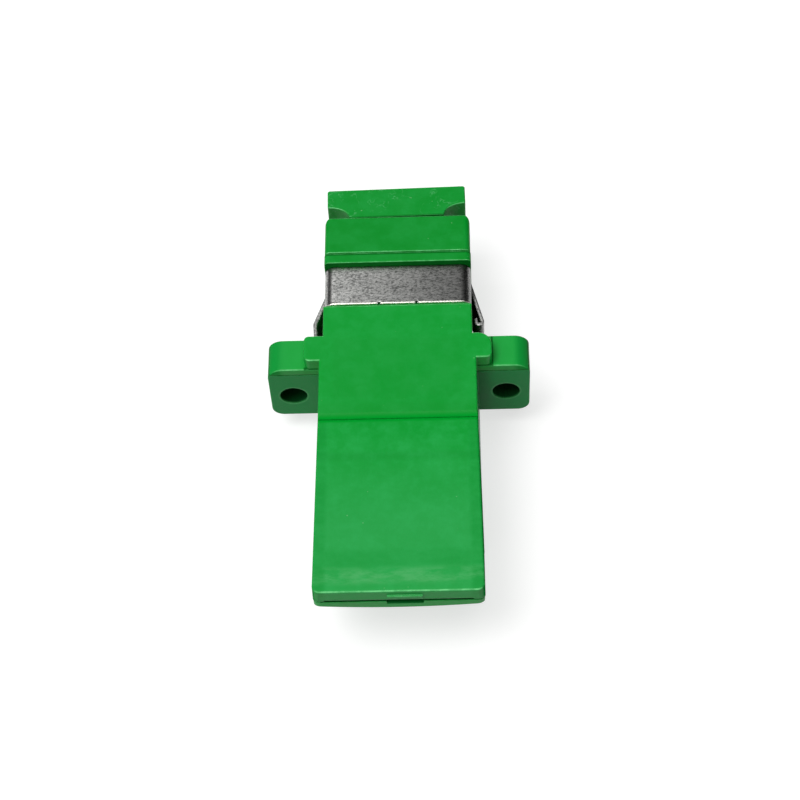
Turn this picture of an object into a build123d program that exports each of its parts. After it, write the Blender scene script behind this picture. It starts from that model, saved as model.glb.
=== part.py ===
"""SC-size fibre optic panel adapter with screw ears, a spring clip, a hooded laser shutter and a dust cap.

Frame, in millimetres: the optical axis is Y, the front (user) port looks to -Y and the rear port to +Y.
Y = 0 is the face of the ears that seats on the panel. X runs from ear to ear, Z is up, and Z = 0 is
the optical axis. The keyways and the shutter are on the underside.
"""
from build123d import *
import math
import os

# Ears and their screw holes
EAR_SPAN = 22.0
EAR_THICK = 3.0
EAR_TOP = 3.1
EAR_BOTTOM = -2.9
EAR_TOP_R = 1.3
EAR_BOTTOM_R = 1.0
EAR_FRONT_R = 0.12
EAR_SEAM = 0.1
HOLE_SPACING = 18.0
HOLE_R = 1.15

# Moulded body
BODY_TOP = 5.15
BODY_BOTTOM = -4.9
REAR_WIDTH = 12.5
REAR_LENGTH = 12.0
REAR_EDGE_R = 0.45
FRONT_WIDTH = 13.06
FRONT_DRAFT = 1.3
LID_FRONT = 5.75
LID_REAR = 2.55
EDGE_R = 0.3

# Port that takes one plug from each side
PORT_WIDTH = 9.1
PORT_HEIGHT = 7.5
PORT_DEPTH = 13.5
KEYWAY_WIDTH = 2.2
KEYWAY_DEPTH = 0.85
KEYWAY_LENGTH = 9.0
KEY_SLOT_LENGTH = 3.5

# Rear collar, rim and the recess for the clip
RIM_THICK = 0.95
RIM_DROP = 0.25
COLLAR_DROP = 0.05
RIM_PROUD = 0.04
STEP_EDGE_R = 0.07
COLLAR_CORNER_R = 0.7
CLIP_BEHIND_LID = 0.75
CLIP_LENGTH = 3.95
CLIP_TOP = 4.3
CLIP_THICK = 0.3
CLIP_CORNER_R = 0.85
CLIP_FIT = 0.02
CLIP_SEAM = 0.5
CLIP_TICK_SPACING = 3.2
CLIP_TICK_WIDTH = 0.14
CLIP_TICK_DEPTH = 0.2
CLIP_BOTTOM_SINK = 0.05

# Side leaves of the clip
LEAF_HEIGHT = 5.2
LEAF_SLOT = 0.3
LEAF_ROOT = 0.7
LEAF_BEND_R = 0.25
LEAF_LEFT = ((0.0, 2.1), (1.02, -0.8), (0.95, -2.0), (0.5, -2.45))
LEAF_RIGHT = ((0.0, 3.2), (1.06, -0.95), (0.64, -1.5), (0.45, -0.55))

# Cover: lid, ear strips and shoulders
STRIP_THICK = 0.75
COVER_THICK = 1.0
REBATE = 0.65
SHOULDER_OUT = 1.3
SHOULDER_BACK = 0.45
SHOULDER_FRONT = 0.05
SHOULDER_R_LEFT = 0.4
SHOULDER_R_RIGHT = 1.15
SHOULDER_FRONT_R = 0.5
GROOVE = 0.04
LID_EDGE_R = 0.14
LID_NOSE_DROP = 0.1
LID_NOSE_LENGTH = 0.55

# Front hood
HOOD_LENGTH = 15.95
HOOD_DROP = 0.05
HOOD_FLARE = 0.2
HOOD_WALL = 0.7
HOOD_FIT = 0.05
ROOF_TIP_THICK = 1.35
TIP_CORNER_R = 0.6
HOOD_EDGE_R = 0.16
SNAP_LENGTH = 2.2
SNAP_HEIGHT = 2.4
SNAP_PROUD = 0.5
SNAP_FIT = 0.06
TAB_WIDTH = 2.8
TAB_X = 0.5
TAB_PROUD = 0.15
TAB_HEIGHT = 0.35
TAB_BELOW_TOP = 0.6

# Shutter door on two short hinge pins
HINGE_AHEAD = 0.6
HINGE_ABOVE_BASE = 0.55
DOOR_THICK = 0.45
DOOR_CROWN = 0.3
DOOR_SLIT = 0.28
DOOR_REST_GAP = 0.1
DOOR_OVERLAP_START = 0.8
KNUCKLE_R = 0.5
KNUCKLE_SIDE_GAP = 0.12
KNUCKLE_INNER = 2.0
KNUCKLE_LEFT_LENGTH = 2.1
KEY_CLEAR = 1.4
KEY_CLEAR_LENGTH = 2.6
NAIL_NOTCH_WIDTH = 2.9
NAIL_NOTCH_DEPTH = 0.3
NAIL_NOTCH_IN = 0.5
PIN_R = 0.28
PIN_PRESS = 0.01
PIN_RUNNING = 0.04
PIN_RECESS = 0.15
SPRING_WIRE_R = 0.09
SPRING_TURNS = 4
SPRING_PITCH = 0.24
SPRING_GAP = 0.06
SPRING_END_GAP = 0.12
SPRING_LEG = 1.6
SPRING_LEG_FIT = 0.06

# Latch inserts and the alignment sleeve
INSERT_PLATE = 1.0
INSERT_WIDTH = 10.0
INSERT_SINK = 0.3
INSERT_FIT = 0.05
HOLDER_R = 2.45
SLEEVE_R = 1.6
SLEEVE_WALL = 0.35
SLEEVE_LENGTH = 11.4
SLEEVE_SLIT = 0.4
SLEEVE_FIT = 0.05
SLEEVE_END_GAP = 0.1
HOLDER_LIP = 0.45
HOLDER_MOUTH_R = 1.35
ARM_THICK = 0.8
ARM_HEIGHT = 3.5
ARM_LENGTH = 7.0
ARM_WALL_GAP = 0.1
HOOK_IN = 0.55
HOOK_LENGTH = 1.3

# Dust cap in the rear port
CAP_FIT = 0.1
CAP_PLUG_LENGTH = 4.8
CAP_PLUG_WALL = 0.9
CAP_HEAD_WIDTH = 12.0
CAP_HEAD_LENGTH = 3.1
CAP_HEAD_GAP = 0.1
CAP_HEAD_DROP = 0.1
CAP_CORNER_R = 0.22
CAP_EDGE_R = 0.12
CAP_SCOOP_X = 1.9
CAP_SCOOP_Y = 1.2
CAP_TURN = 1.0

# Places that follow from the sizes above
EAR_FRONT = -EAR_THICK
SEAM_Y = EAR_FRONT - LID_FRONT
TIP_Y = SEAM_Y - HOOD_LENGTH
MATE_Y = REAR_LENGTH - PORT_DEPTH
FRONT_MOUTH = MATE_Y - PORT_DEPTH
REAR_HALF = REAR_WIDTH / 2
FRONT_HALF = FRONT_WIDTH / 2
PORT_HALF_W = PORT_WIDTH / 2
PORT_HALF_H = PORT_HEIGHT / 2
CLIP_NEAR = LID_REAR + CLIP_BEHIND_LID
RIM_NEAR = CLIP_NEAR + CLIP_LENGTH + CLIP_FIT
COLLAR_NEAR = RIM_NEAR + RIM_THICK
COLLAR_TOP = BODY_TOP - COLLAR_DROP
RIM_TOP = BODY_TOP - RIM_DROP
COVER_UNDER = BODY_TOP - COVER_THICK
STRIP_TOP = EAR_TOP + STRIP_THICK
ROOF_TIP_TOP = BODY_TOP - HOOD_DROP
ROOF_TIP_UNDER = ROOF_TIP_TOP - ROOF_TIP_THICK
HOOD_INNER = FRONT_HALF - HOOD_WALL
SHELL_FRONT_HALF = HOOD_INNER - HOOD_FIT
HINGE_Y = FRONT_MOUTH - HINGE_AHEAD
HINGE_Z = BODY_BOTTOM + HINGE_ABOVE_BASE
KNUCKLE_OUTER = HOOD_INNER - KNUCKLE_SIDE_GAP
SPRING_COIL_R = PIN_R + SPRING_GAP + SPRING_WIRE_R
SPRING_X = KNUCKLE_LEFT_LENGTH - KNUCKLE_OUTER + SPRING_END_GAP + SPRING_WIRE_R
SPRING_LEG_GROOVE = SPRING_WIRE_R + SPRING_LEG_FIT


def door_angle():
    """Slope of the closed door, in degrees: its inner face ends below the slit at the roof's tip."""
    run = HINGE_Y - TIP_Y
    rise = ROOF_TIP_UNDER - DOOR_SLIT - HINGE_Z
    reach = math.hypot(run, rise)
    return math.degrees(math.atan2(rise, run) - math.asin(DOOR_THICK / 2 / reach))


DOOR_ANGLE = door_angle()


def block(x_range, y_range, z_range):
    """Box between three pairs of limits."""
    centre = [(low + high) / 2 for low, high in (x_range, y_range, z_range)]
    size = [high - low for low, high in (x_range, y_range, z_range)]
    return Pos(*centre) * Box(*size)


def both(half):
    """Pair of limits that lie evenly about zero."""
    return (-half, half)


def along_y(sketch, y_range):
    """Sketch on the XZ plane, carried along Y between two limits."""
    low, high = y_range
    return Pos(0, low, 0) * extrude(sketch, amount=high - low, dir=(0, 1, 0))


def profile(half_width, z_low, z_high, top_r, bottom_r):
    """Upright rectangle on the XZ plane with rounded top and bottom corners."""
    shape = Plane.XZ * Pos(0, (z_low + z_high) / 2) * Rectangle(2 * half_width, z_high - z_low)
    shape = fillet(shape.vertices().group_by(Axis.Z)[-1], top_r)
    return fillet(shape.vertices().group_by(Axis.Z)[0], bottom_r)


def side_outline(points, half_width):
    """Closed outline in the YZ plane, carried across X."""
    face = make_face(Polyline(*[(0, y, z) for y, z in points], close=True))
    return Pos(-half_width, 0, 0) * extrude(face, amount=2 * half_width, dir=(1, 0, 0))


def front_envelope():
    """Outer form of everything from the ears to the tip: flared in plan and drafted outwards below."""
    tip_half = FRONT_HALF + HOOD_FLARE
    plan = make_face(Polyline(
        (-FRONT_HALF, 0), (-FRONT_HALF, SEAM_Y), (-tip_half, TIP_Y), (tip_half, TIP_Y),
        (FRONT_HALF, SEAM_Y), (FRONT_HALF, 0), close=True))
    plan = fillet(plan.vertices().group_by(Axis.Y)[0], TIP_CORNER_R)
    height = BODY_TOP - BODY_BOTTOM
    return Pos(0, 0, BODY_TOP) * extrude(plan, amount=height, dir=(0, 0, -1), taper=-FRONT_DRAFT)


def ear_bar(z_low, z_high):
    """Layer between two heights of the rounded slab that makes both ears, with its seam groove cut."""
    slab = along_y(profile(EAR_SPAN / 2, EAR_BOTTOM, STRIP_TOP, EAR_TOP_R, EAR_BOTTOM_R), (EAR_FRONT, 0))
    slab = fillet(slab.faces().sort_by(Axis.Y)[0].edges(), EAR_FRONT_R)
    seam = Pos(0, EAR_FRONT, EAR_TOP) * Rot(45, 0, 0) * Box(2 * EAR_SPAN, EAR_SEAM, EAR_SEAM)
    return (slab & block(both(EAR_SPAN), (EAR_FRONT, 0), (z_low, z_high))) - seam


def screw_holes():
    """Cutters for the two panel screws."""
    drill = Rot(90, 0, 0) * Cylinder(HOLE_R, 3 * EAR_THICK)
    return [Pos(side * HOLE_SPACING / 2, EAR_FRONT / 2, 0) * drill for side in (-1, 1)]


def insert_pocket():
    """Cutter for the pocket that holds both latch inserts, open upwards under the cover."""
    reach = INSERT_PLATE + INSERT_FIT
    low = -PORT_HALF_H - INSERT_SINK
    return block(both(INSERT_WIDTH / 2 + INSERT_FIT), (MATE_Y - reach, MATE_Y + reach), (low, COVER_UNDER))


def keyways():
    """Cutters for the keyway along each port's floor and for the slot at its mouth."""
    floor = -PORT_HALF_H - KEYWAY_DEPTH
    half = KEYWAY_WIDTH / 2
    rear = (REAR_LENGTH - KEYWAY_LENGTH, REAR_LENGTH)
    front = (FRONT_MOUTH, FRONT_MOUTH + KEYWAY_LENGTH)
    rear_slot = (REAR_LENGTH - KEY_SLOT_LENGTH, REAR_LENGTH)
    front_slot = (FRONT_MOUTH, FRONT_MOUTH + KEY_SLOT_LENGTH)
    grooves = [block(both(half), span, (floor, 0)) for span in (rear, front)]
    slots = [block(both(half), span, (BODY_BOTTOM, 0)) for span in (rear_slot, front_slot)]
    return grooves + slots


def spring_groove_below():
    """Cutter in the housing's underside for the spring's fixed leg."""
    turns = SPRING_TURNS + DOOR_ANGLE / 360
    x = SPRING_X + turns * SPRING_PITCH
    top = HINGE_Z - SPRING_COIL_R + SPRING_LEG_GROOVE
    end = HINGE_Y + SPRING_LEG + SPRING_LEG_FIT
    return block((x - SPRING_LEG_GROOVE, x + SPRING_LEG_GROOVE), (FRONT_MOUTH, end), (BODY_BOTTOM, top))


def collar_corners():
    """Upright block over the collar, with its two rear corners rounded."""
    plan = Pos(0, (COLLAR_NEAR + REAR_LENGTH) / 2) * Rectangle(REAR_WIDTH, REAR_LENGTH - COLLAR_NEAR)
    plan = fillet(plan.vertices().group_by(Axis.Y)[-1], COLLAR_CORNER_R)
    return Pos(0, 0, BODY_BOTTOM) * extrude(plan, amount=BODY_TOP - BODY_BOTTOM, dir=(0, 0, 1))


def rear_tube():
    """Rear port's outer form: seat under the lid, clip recess, rim and collar."""
    recess_half = REAR_HALF - CLIP_THICK - CLIP_FIT
    recess_top = CLIP_TOP - CLIP_THICK - CLIP_FIT
    recess_low = BODY_BOTTOM + CLIP_BOTTOM_SINK + CLIP_THICK + CLIP_FIT
    recess_r = CLIP_CORNER_R - CLIP_THICK
    seat = along_y(profile(REAR_HALF, BODY_BOTTOM, COVER_UNDER, EDGE_R, EDGE_R), (0, CLIP_NEAR))
    recess = along_y(profile(recess_half, recess_low, recess_top, recess_r, recess_r), (0, RIM_NEAR))
    rim = along_y(profile(REAR_HALF + RIM_PROUD, BODY_BOTTOM, RIM_TOP, REAR_EDGE_R, REAR_EDGE_R),
                  (RIM_NEAR, COLLAR_NEAR))
    collar = along_y(profile(REAR_HALF, BODY_BOTTOM, COLLAR_TOP, REAR_EDGE_R, REAR_EDGE_R),
                     (COLLAR_NEAR, REAR_LENGTH))
    rim = fillet(rim.faces().sort_by(Axis.Y)[0].edges(), STEP_EDGE_R)
    collar = fillet(collar.faces().sort_by(Axis.Y)[0].edges(), STEP_EDGE_R)
    collar = fillet(collar.faces().sort_by(Axis.Y)[-1].edges(), EDGE_R / 2) & collar_corners()
    return seat + recess + rim + collar


def front_tube():
    """Front port's outer form: full width up to the hood, then stepped in to carry it."""
    low = BODY_BOTTOM
    wide = block(both(FRONT_WIDTH), (SEAM_Y, 0), (low, EAR_TOP)) & front_envelope()
    neck = block(both(FRONT_HALF - REBATE), (SEAM_Y, 0), (low, COVER_UNDER))
    neck += block(both(REAR_HALF), (-SHOULDER_BACK, 0), (low, COVER_UNDER))
    nose = block(both(SHELL_FRONT_HALF), (FRONT_MOUTH, SEAM_Y), (low, COVER_UNDER - HOOD_FIT))
    return wide + neck + nose


def snap_bumps():
    """Wedges on the nose's sides that catch in the hood's windows."""
    centre_y = (SEAM_Y + FRONT_MOUTH) / 2
    near, far = centre_y - SNAP_LENGTH / 2, centre_y + SNAP_LENGTH / 2
    root, crest = SHELL_FRONT_HALF, SHELL_FRONT_HALF + SNAP_PROUD
    wedge = make_face(Polyline((root, near), (root, far), (crest, far), close=True))
    wedge = Pos(0, 0, -SNAP_HEIGHT / 2) * extrude(wedge, amount=SNAP_HEIGHT, dir=(0, 0, 1))
    return [wedge, mirror(wedge, Plane.YZ)]


def housing():
    """Moulded body with both ports, the lower part of both ears and the clip recess."""
    body = rear_tube() + front_tube() + ear_bar(EAR_BOTTOM, EAR_TOP)
    body += snap_bumps()
    body -= block(both(PORT_HALF_W), (FRONT_MOUTH, REAR_LENGTH), both(PORT_HALF_H))
    body -= insert_pocket()
    for cutter in keyways() + screw_holes() + [spring_groove_below()]:
        body -= cutter
    return body


def rounded_corner(plan, x, y, radius):
    """Plan with the corner nearest to one point rounded."""
    return fillet(plan.vertices().sort_by_distance((x, y, 0))[0], radius)


def cover_plan():
    """Outline of the lid and its two shoulders, seen from above."""
    outer = FRONT_HALF + SHOULDER_OUT
    near, far = EAR_FRONT + SHOULDER_FRONT, -SHOULDER_BACK
    right = [(FRONT_HALF, SEAM_Y), (FRONT_HALF, near), (outer, near), (outer, far),
             (REAR_HALF, far), (REAR_HALF, LID_REAR)]
    left = [(-x, y) for x, y in reversed(right)]
    plan = make_face(Polyline(*right, *left, close=True))
    plan = rounded_corner(plan, outer, far, SHOULDER_R_RIGHT)
    plan = rounded_corner(plan, -outer, far, SHOULDER_R_LEFT)
    for side in (-1, 1):
        plan = rounded_corner(plan, side * outer, near, SHOULDER_FRONT_R)
    return plan


def nose_slope():
    """What the lid's long front slope takes off, down to the groove before the hood."""
    back = SEAM_Y + LID_NOSE_LENGTH
    front = 2 * SEAM_Y - back
    outline = [(back, BODY_TOP), (front, BODY_TOP), (front, BODY_TOP - 2 * LID_NOSE_DROP)]
    return side_outline(outline, FRONT_WIDTH)


def cover():
    """Welded lid: top plate with side skirts, a strip on each ear and two shoulders."""
    slab_low = STRIP_TOP - STRIP_THICK / 2
    lid = Pos(0, 0, slab_low) * extrude(cover_plan(), amount=BODY_TOP - slab_low, dir=(0, 0, 1))
    lid = fillet(lid.faces().sort_by(Axis.Z)[-1].edges(), LID_EDGE_R) - nose_slope()
    strips = ear_bar(EAR_TOP, STRIP_TOP)
    lid += strips + block(both(FRONT_HALF), (SEAM_Y, EAR_FRONT), (EAR_TOP, slab_low))
    lid -= block(both(FRONT_HALF - REBATE), (SEAM_Y, 0), (EAR_TOP, COVER_UNDER))
    return lid - block(both(REAR_HALF), (-SHOULDER_BACK, LID_REAR), (EAR_TOP, COVER_UNDER))


def hood_form():
    """Hood before it is hollowed: roof that falls to the tip and sides down to the base."""
    near = SEAM_Y - GROOVE
    slope = HOOD_DROP / HOOD_LENGTH
    near_top = BODY_TOP - slope * GROOVE
    outline = [(near, BODY_BOTTOM), (near, near_top), (TIP_Y, ROOF_TIP_TOP), (TIP_Y, BODY_BOTTOM)]
    form = side_outline(outline, FRONT_WIDTH) & front_envelope()
    top = form.faces().filter_by(lambda face: face.normal_at().Z > 0.9).sort_by(Axis.Z)[-1]
    return fillet(top.edges(), HOOD_EDGE_R)


def hood_hollow():
    """Cutter for the space between the hood's side walls and below its roof."""
    level = COVER_UNDER
    outline = [(SEAM_Y, BODY_BOTTOM), (SEAM_Y, level), (FRONT_MOUTH, level),
               (TIP_Y, ROOF_TIP_UNDER), (TIP_Y, BODY_BOTTOM)]
    return side_outline(outline, HOOD_INNER)


def door_clearance():
    """Cutter for everything in front of the closed door's inner face, with a round end at the hinge."""
    reach = HOOD_LENGTH * 2
    lift = DOOR_THICK / 2 + DOOR_REST_GAP
    sweep = block(both(FRONT_WIDTH), (-reach, reach), (lift - reach, lift))
    sweep = Pos(0, HINGE_Y, HINGE_Z) * Rot(-DOOR_ANGLE, 0, 0) * sweep
    return sweep


def hinge_cheeks():
    """Round lower corners of the side walls, about the hinge axis."""
    disc = Rot(0, 90, 0) * Cylinder(HINGE_ABOVE_BASE, 2 * FRONT_WIDTH)
    return Pos(0, HINGE_Y, HINGE_Z) * disc


def hood_tab():
    """Small ledge on the roof's front face."""
    top = ROOF_TIP_TOP - TAB_BELOW_TOP
    x_range = (TAB_X - TAB_WIDTH / 2, TAB_X + TAB_WIDTH / 2)
    return block(x_range, (TIP_Y - TAB_PROUD, TIP_Y + TAB_PROUD), (top - TAB_HEIGHT, top))


def snap_windows():
    """Cutter through both side walls for the nose's snap wedges."""
    centre_y = (SEAM_Y + FRONT_MOUTH) / 2
    span = SNAP_LENGTH / 2 + SNAP_FIT
    return block(both(FRONT_WIDTH), (centre_y - span, centre_y + span), both(SNAP_HEIGHT / 2 + SNAP_FIT))


def pin_cutter(radius):
    """Cutter along the hinge axis."""
    return Pos(0, HINGE_Y, HINGE_Z) * Rot(0, 90, 0) * Cylinder(radius, 2 * FRONT_WIDTH)


def front_hood():
    """Roof and side walls in front of the groove, snapped over the housing's nose."""
    form = hood_form()
    whole_walls = block(both(FRONT_WIDTH), (HINGE_Y, SEAM_Y), (BODY_BOTTOM, BODY_TOP))
    shell = (form - door_clearance()) + (form & whole_walls) + (form & hinge_cheeks())
    shell = shell - hood_hollow() - snap_windows() - pin_cutter(PIN_R + PIN_PRESS)
    return shell + hood_tab()


def door_plate():
    """Door's plate, flat inside and crowned outside, lying along -Y from the hinge axis."""
    half_t = DOOR_THICK / 2
    half_w = FRONT_HALF + HOOD_FLARE
    edge = Polyline((half_w, 0, -half_t), (half_w, 0, half_t), (-half_w, 0, half_t), (-half_w, 0, -half_t))
    edge += ThreePointArc((half_w, 0, -half_t), (0, 0, -half_t - DOOR_CROWN), (-half_w, 0, -half_t))
    plate = extrude(make_face(edge), amount=HOOD_LENGTH, dir=(0, -1, 0))
    return Pos(0, -DOOR_OVERLAP_START, 0) * plate


def door_knuckles():
    """Knuckles about the hinge axis and the webs that carry them."""
    left = (-KNUCKLE_OUTER, KNUCKLE_LEFT_LENGTH - KNUCKLE_OUTER)
    right = (KNUCKLE_INNER, KNUCKLE_OUTER)
    pieces = []
    for low, high in (left, right):
        barrel = Pos((low + high) / 2, 0, 0) * Rot(0, 90, 0) * Cylinder(KNUCKLE_R, high - low)
        web = block((low, high), (-2 * DOOR_OVERLAP_START, 0), both(DOOR_THICK / 2))
        pieces += [barrel, web]
    return pieces


def place_door(shape):
    """Move a shape from the door's own frame to its closed place."""
    return Pos(0, HINGE_Y, HINGE_Z) * Rot(-DOOR_ANGLE, 0, 0) * shape


def shutter_door():
    """Sprung door that closes the slanted front mouth."""
    tip_half = FRONT_HALF + HOOD_FLARE
    plate = door_plate()
    plate -= block(both(KEY_CLEAR), (-KEY_CLEAR_LENGTH, 0), both(DOOR_THICK))
    leg_x = (SPRING_X - SPRING_LEG_GROOVE, SPRING_X + SPRING_LEG_GROOVE)
    leg_end = SPRING_LEG + SPRING_LEG_FIT
    plate -= block(leg_x, (-leg_end, 0), (-HOOD_WALL - DOOR_THICK, SPRING_LEG_GROOVE - SPRING_COIL_R))
    door = plate
    for piece in door_knuckles():
        door += piece
    door = place_door(door)
    keep = block(both(tip_half), (TIP_Y, 0), (2 * BODY_BOTTOM, BODY_TOP))
    keep = fillet(keep.edges().filter_by(Axis.Z).group_by(Axis.Y)[0], TIP_CORNER_R)
    door &= keep
    top = ROOF_TIP_UNDER - DOOR_SLIT
    notch_x = (TAB_X - NAIL_NOTCH_WIDTH / 2, TAB_X + NAIL_NOTCH_WIDTH / 2)
    door -= block(notch_x, (TIP_Y, TIP_Y + NAIL_NOTCH_IN), (top - NAIL_NOTCH_DEPTH, BODY_TOP))
    return door - pin_cutter(PIN_R + PIN_RUNNING)


def hinge_pin(side):
    """Short wire pin from one side wall into the door's knuckle, clear of the plug's key."""
    outer = FRONT_HALF - PIN_RECESS
    length = outer - KNUCKLE_INNER
    pin = Rot(0, 90, 0) * Cylinder(PIN_R, length)
    return Pos(side * (KNUCKLE_INNER + length / 2), HINGE_Y, HINGE_Z) * pin


def torsion_spring():
    """Coil about the left pin. One leg lies along the door's outer face, the other under the port floor."""
    turns = SPRING_TURNS + DOOR_ANGLE / 360
    path = Helix(SPRING_PITCH, turns * SPRING_PITCH, SPRING_COIL_R)
    wire = Circle(SPRING_WIRE_R)
    coil = sweep(Plane(path @ 0, z_dir=path % 0) * wire, path=path)
    for end, sign in ((0, -1), (1, 1)):
        heading = (path % end) * sign
        flat = Vector(heading.X, heading.Y, 0)
        coil += extrude(Plane(path @ end, z_dir=flat) * wire, amount=SPRING_LEG)
        coil += Pos(path @ end) * Sphere(SPRING_WIRE_R)
    hinge = Plane(origin=(SPRING_X, HINGE_Y, HINGE_Z), x_dir=(0, 1, 0), z_dir=(1, 0, 0))
    return hinge * Rot(0, 0, -90 - DOOR_ANGLE) * coil


def leaf(bends):
    """Side leaf at +X that leaves the band's side and follows bends given as (out, behind the near edge)."""
    skin = REAR_HALF - CLIP_THICK / 2
    root = (skin, RIM_NEAR - CLIP_FIT - LEAF_ROOT / 2)
    corners = [(skin + out, CLIP_NEAR + behind) for out, behind in bends]
    strip = trace(FilletPolyline(root, *corners, radius=LEAF_BEND_R), CLIP_THICK)
    return Pos(0, 0, -LEAF_HEIGHT / 2) * extrude(strip, amount=LEAF_HEIGHT, dir=(0, 0, 1))


def panel_clip():
    """Folded spring-steel band round the rear body, with a leaf on each side and a seam below."""
    near, far = CLIP_NEAR + CLIP_FIT, RIM_NEAR - CLIP_FIT
    low = BODY_BOTTOM + CLIP_BOTTOM_SINK
    outer = profile(REAR_HALF, low, CLIP_TOP, CLIP_CORNER_R, CLIP_CORNER_R)
    inner = profile(REAR_HALF - CLIP_THICK, low + CLIP_THICK, CLIP_TOP - CLIP_THICK,
                    CLIP_CORNER_R - CLIP_THICK, CLIP_CORNER_R - CLIP_THICK)
    band = along_y(outer, (near, far)) - along_y(inner, (near, far))
    band -= block(both(CLIP_SEAM / 2), (near, far), (low, 0))
    window_z = LEAF_HEIGHT / 2 + LEAF_SLOT
    band -= block(both(FRONT_WIDTH), (near, far - LEAF_ROOT), both(window_z))
    for side in (-1, 1):
        tick = side * CLIP_TICK_SPACING / 2
        x_range = (tick - CLIP_TICK_WIDTH / 2, tick + CLIP_TICK_WIDTH / 2)
        band -= block(x_range, (near, near + CLIP_TICK_DEPTH), (0, BODY_TOP))
    return band + leaf(LEAF_RIGHT) + mirror(leaf(LEAF_LEFT), Plane.YZ)


def latch_arm():
    """Latch arm at +X of the rear insert, with its hook turned in towards the plug."""
    outer = PORT_HALF_W - ARM_WALL_GAP
    inner = outer - ARM_THICK
    root = MATE_Y + INSERT_PLATE / 2
    end = MATE_Y + INSERT_PLATE + ARM_LENGTH
    crest = end - HOOK_LENGTH
    outline = Polyline((outer, root), (outer, end), (inner + ARM_THICK / 4, end),
                       (inner - HOOK_IN, crest), (inner, crest - HOOK_IN), (inner, root), close=True)
    return Pos(0, 0, -ARM_HEIGHT / 2) * extrude(make_face(outline), amount=ARM_HEIGHT, dir=(0, 0, 1))


def latch_insert_rear():
    """Plate with half of the sleeve holder and two latch arms, pointing to the rear port."""
    half_sleeve = SLEEVE_LENGTH / 2 + SLEEVE_END_GAP
    plate_z = PORT_HALF_H + INSERT_SINK - INSERT_FIT
    insert = block(both(INSERT_WIDTH / 2), (MATE_Y, MATE_Y + INSERT_PLATE), both(plate_z))
    tube_length = half_sleeve + HOLDER_LIP
    tube = Pos(0, MATE_Y + tube_length / 2, 0) * Rot(90, 0, 0) * Cylinder(HOLDER_R, tube_length)
    arm = latch_arm()
    insert = insert + tube + arm + mirror(arm, Plane.YZ)
    bore = Pos(0, MATE_Y + half_sleeve / 2, 0) * Rot(90, 0, 0) * Cylinder(SLEEVE_R + SLEEVE_FIT, half_sleeve)
    mouth = Pos(0, MATE_Y + tube_length, 0) * Rot(90, 0, 0) * Cylinder(HOLDER_MOUTH_R, 2 * tube_length)
    return insert - bore - mouth


def latch_insert_front():
    """The same insert turned round, pointing to the front port."""
    return mirror(latch_insert_rear(), Plane.XZ.offset(-MATE_Y))


def split_sleeve():
    """Slit alignment sleeve for the two ferrules."""
    axis = Pos(0, MATE_Y, 0) * Rot(90, 0, 0)
    tube = axis * (Cylinder(SLEEVE_R, SLEEVE_LENGTH) - Cylinder(SLEEVE_R - SLEEVE_WALL, SLEEVE_LENGTH))
    half = SLEEVE_LENGTH / 2
    return tube - block(both(SLEEVE_SLIT / 2), (MATE_Y - half, MATE_Y + half), (0, 2 * SLEEVE_R))


def cap_head():
    """Cap's grip: a block with an elliptical finger scoop at each near corner."""
    near = REAR_LENGTH + CAP_HEAD_GAP
    far = near + CAP_HEAD_LENGTH
    top = COLLAR_TOP - CAP_HEAD_DROP
    low = BODY_BOTTOM + CAP_HEAD_DROP
    half = CAP_HEAD_WIDTH / 2
    plan = Pos(0, (near + far) / 2) * Rectangle(CAP_HEAD_WIDTH, CAP_HEAD_LENGTH)
    plan = fillet(plan.vertices().group_by(Axis.Y)[-1], CAP_CORNER_R)
    for side in (-1, 1):
        plan -= Pos(side * half, near) * Ellipse(CAP_SCOOP_X, CAP_SCOOP_Y)
    head = Pos(0, 0, low) * extrude(plan, amount=top - low, dir=(0, 0, 1))
    rim = head.faces().sort_by(Axis.Z)[-1].edges()
    scoops = rim.filter_by(GeomType.ELLIPSE)
    head = fillet(scoops, STEP_EDGE_R)
    rim = head.faces().sort_by(Axis.Z)[-1].edges().filter_by(lambda edge: edge.center().Y > near + CAP_SCOOP_Y)
    return fillet(rim, CAP_EDGE_R)


def dust_cap():
    """Cap in the rear port: hollow plug and grip, seated a little askew in its clearance."""
    half_w, half_h = PORT_HALF_W - CAP_FIT, PORT_HALF_H - CAP_FIT
    near = REAR_LENGTH - CAP_PLUG_LENGTH
    plug = block(both(half_w), (near, REAR_LENGTH + CAP_HEAD_GAP), both(half_h))
    plug -= block(both(half_w - CAP_PLUG_WALL), (near, REAR_LENGTH), both(half_h - CAP_PLUG_WALL))
    pivot = REAR_LENGTH - CAP_PLUG_LENGTH / 2
    return Pos(0, pivot, 0) * Rot(0, 0, CAP_TURN) * Pos(0, -pivot, 0) * (plug + cap_head())


PARTS = {
    "housing": housing,
    "cover": cover,
    "front_hood": front_hood,
    "shutter_door": shutter_door,
    "hinge_pin_left": lambda: hinge_pin(-1),
    "hinge_pin_right": lambda: hinge_pin(1),
    "torsion_spring": torsion_spring,
    "panel_clip": panel_clip,
    "latch_insert_front": latch_insert_front,
    "latch_insert_rear": latch_insert_rear,
    "split_sleeve": split_sleeve,
    "dust_cap": dust_cap,
}


def main():
    """Write one STEP file for each piece."""
    os.makedirs("parts", exist_ok=True)
    for name, make in PARTS.items():
        export_step(make(), f"parts/{name}.step")


if __name__ == "__main__":
    main()
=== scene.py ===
"""Fibre optic panel adapter with a hooded shutter, a spring clip and a dust cap, dressed for rendering.

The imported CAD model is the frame. Sizes are in metres, along the same axes as the CAD: Y along the
optical axis towards the rear port, X from ear to ear, Z up.
"""
import math

import bpy
import numpy as np
from mathutils import Matrix, Vector


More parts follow.
